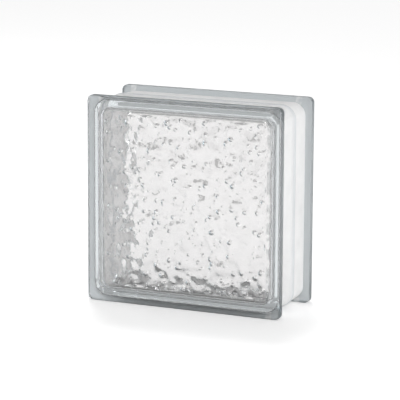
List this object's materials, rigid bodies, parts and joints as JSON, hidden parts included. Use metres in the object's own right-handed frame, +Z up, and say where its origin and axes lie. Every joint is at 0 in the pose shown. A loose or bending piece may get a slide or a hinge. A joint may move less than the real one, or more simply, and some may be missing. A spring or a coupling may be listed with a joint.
{
  "type": "glass block",
  "caption": "Hollow square glass wall block of pressed glass halves fused at mid-depth, with icy see-through panes, lips round the faces and a white-coated mortar channel.",
  "frame": {"origin": "middle of the footprint, on the level that the undersides of the two lips stand on", "axes": "+X along the width, +Y along the depth with the front face at -Y, +Z up"},
  "size_m": [0.19, 0.08, 0.19],
  "materials": {
    "clear_glass": "polished",
    "white_coating": "matte"
  },
  "bodies": {
    "root": {"front_half": "clear_glass", "back_half": "clear_glass", "front_coating": "white_coating", "back_coating": "white_coating"}
  },
  "joints": []
}
